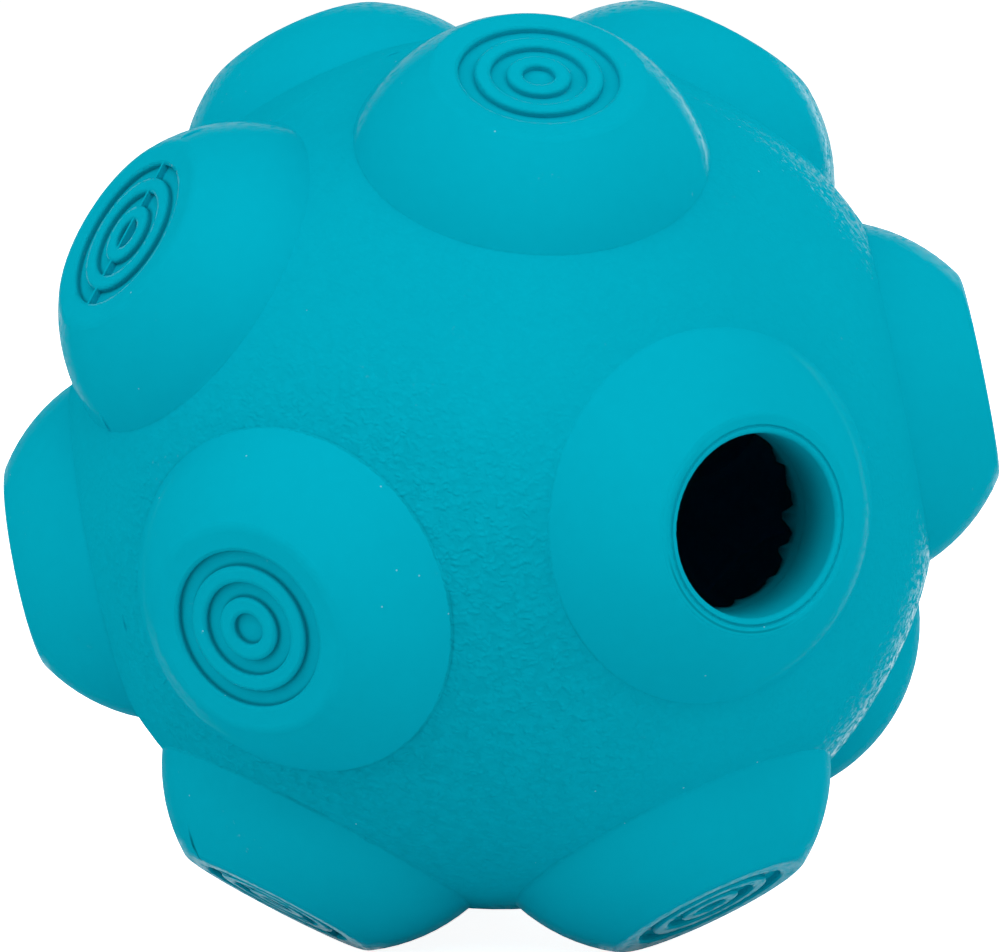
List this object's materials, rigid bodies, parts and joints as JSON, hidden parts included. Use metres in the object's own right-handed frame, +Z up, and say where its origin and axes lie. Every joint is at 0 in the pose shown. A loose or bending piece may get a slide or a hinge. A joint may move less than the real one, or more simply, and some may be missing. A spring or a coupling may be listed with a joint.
{
  "type": "treat dispensing ball",
  "caption": "Hollow rubber ball studded with domed, ring-faced knobs, with a round mouth in one knob that lets treats fall out as the ball rolls.",
  "frame": {"origin": "centre of the ball", "axes": "+Z up with the ball at rest on three knobs, mouth axis level with the mouth towards -Y, +X to the right seen from the mouth side"},
  "size_m": [0.086, 0.0894, 0.086],
  "materials": {
    "shell_rubber": "matte moulded natural rubber, fine leather grain on the ball, smooth on the knobs",
    "seam_rubber": "matte trimmed moulding web"
  },
  "bodies": {
    "root": {"front_half_shell": "shell_rubber", "rear_half_shell": "shell_rubber", "seam_bond": "seam_rubber"}
  },
  "joints": []
}
